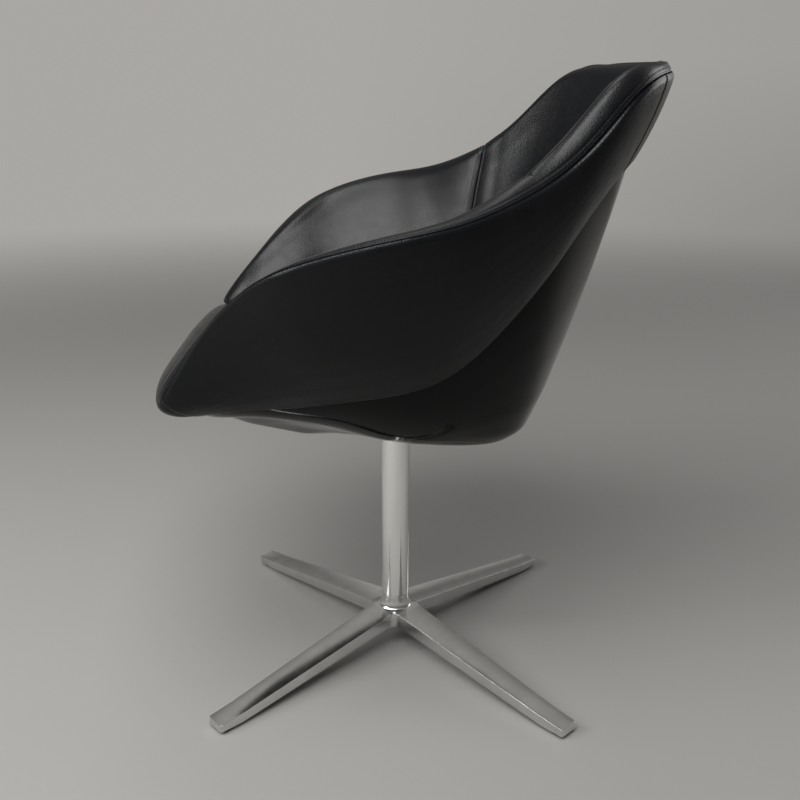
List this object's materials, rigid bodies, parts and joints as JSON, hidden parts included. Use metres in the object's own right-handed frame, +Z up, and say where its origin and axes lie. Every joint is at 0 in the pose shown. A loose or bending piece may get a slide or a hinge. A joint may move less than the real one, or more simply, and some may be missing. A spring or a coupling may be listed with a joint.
{
  "type": "swivel armchair",
  "caption": "Upholstered tub armchair in black leather over a gloss black lower shell, which turns on a polished tubular column with a cast star base.",
  "frame": {"origin": "middle of the footprint, on the floor under the glides", "axes": "+Z up, the sitter faces -Y, +X is the sitter's left"},
  "size_m": [0.6728, 0.626, 0.8245],
  "materials": {
    "leather": "fine grain, semi-gloss",
    "foam": "open foam",
    "plywood": "raw moulded",
    "gloss_shell": "high gloss black",
    "polished_steel": "polished",
    "polished_casting": "polished",
    "zinc_steel": "zinc plated",
    "bush_plastic": "natural",
    "black_plastic": "matt black",
    "black_steel": "blackened"
  },
  "bodies": {
    "base": {"base_casting": "polished_casting", "column_tube": "polished_steel", "column_plug": "zinc_steel", "base_washer": "zinc_steel", "base_bolt": "zinc_steel", "upper_bush": "bush_plastic", "thrust_washer": "bush_plastic", "lower_bush": "bush_plastic", "glide_rear_left": "black_plastic", "glide_screw_rear_left": "zinc_steel", "glide_rear_right": "black_plastic", "glide_screw_rear_right": "zinc_steel", "glide_front_right": "black_plastic", "glide_screw_front_right": "zinc_steel", "glide_front_left": "black_plastic", "glide_screw_front_left": "zinc_steel"},
    "seat": {"swivel_spindle": "polished_steel", "spindle_washer": "zinc_steel", "spindle_screw": "zinc_steel", "seat_plate": "zinc_steel", "plate_bolt_1": "zinc_steel", "shell_pillar_1": "black_plastic", "shell_screw_1": "black_steel", "plate_bolt_2": "zinc_steel", "shell_pillar_2": "black_plastic", "shell_screw_2": "black_steel", "plate_bolt_3": "zinc_steel", "shell_pillar_3": "black_plastic", "shell_screw_3": "black_steel", "plate_bolt_4": "zinc_steel", "shell_pillar_4": "black_plastic", "shell_screw_4": "black_steel", "seat_shell": "plywood", "lower_shell": "gloss_shell", "seat_cover": "leather", "seat_foam": "foam", "arm_cover_left": "leather", "arm_foam_left": "foam", "arm_cover_right": "leather", "arm_foam_right": "foam", "back_cover": "leather", "back_foam": "foam", "side_cover_left": "leather", "side_foam_left": "foam", "side_cover_right": "leather", "side_foam_right": "foam", "rear_cover": "leather", "rear_foam": "foam"}
  },
  "joints": [
    {"name": "seat_swivel", "type": "hinge", "parent": "base", "child": "seat", "pos_m": [0, -0.023, 0.36], "axis": [0, 0, 1], "continuous": true}
  ]
}
